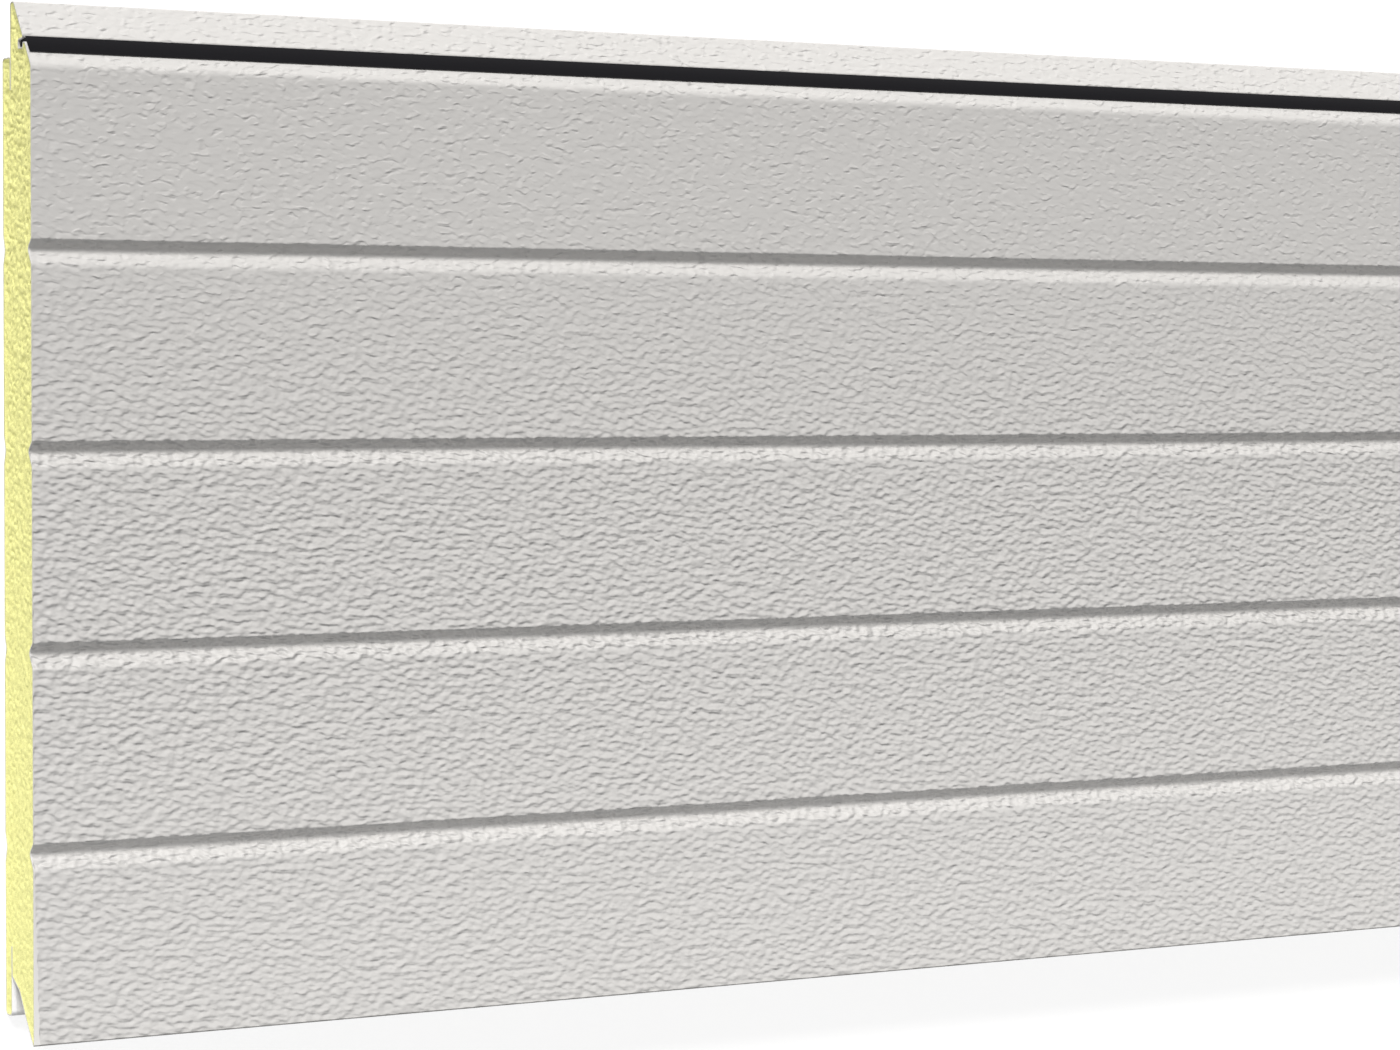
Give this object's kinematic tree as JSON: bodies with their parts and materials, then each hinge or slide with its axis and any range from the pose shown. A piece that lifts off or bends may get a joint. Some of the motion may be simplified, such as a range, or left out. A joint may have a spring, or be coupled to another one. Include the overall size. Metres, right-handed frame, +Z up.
{
  "type": "insulated sandwich panel",
  "caption": "Insulated sectional door panel: foam core between embossed steel skins, grooved face, tongue and groove edges with a rubber joint seal.",
  "frame": {"origin": "middle of the panel's bounding box, on the floor it lies on, under its inner skin", "axes": "+X along the panel's length, +Y from the groove edge to the tongue edge, +Z up from the inner skin to the outer skin"},
  "size_m": [2.5, 0.5192, 0.04],
  "materials": {
    "outer_skin": "stucco embossed coil coated steel, satin grey white",
    "inner_skin": "stucco embossed coil coated steel, satin grey white",
    "foam_core": "sawn rigid foam, pale yellow, fine open cells",
    "joint_seal": "black extruded rubber, matt"
  },
  "bodies": {
    "root": {"outer_skin": "outer_skin", "inner_skin": "inner_skin", "foam_core": "foam_core", "joint_seal": "joint_seal"}
  },
  "joints": []
}
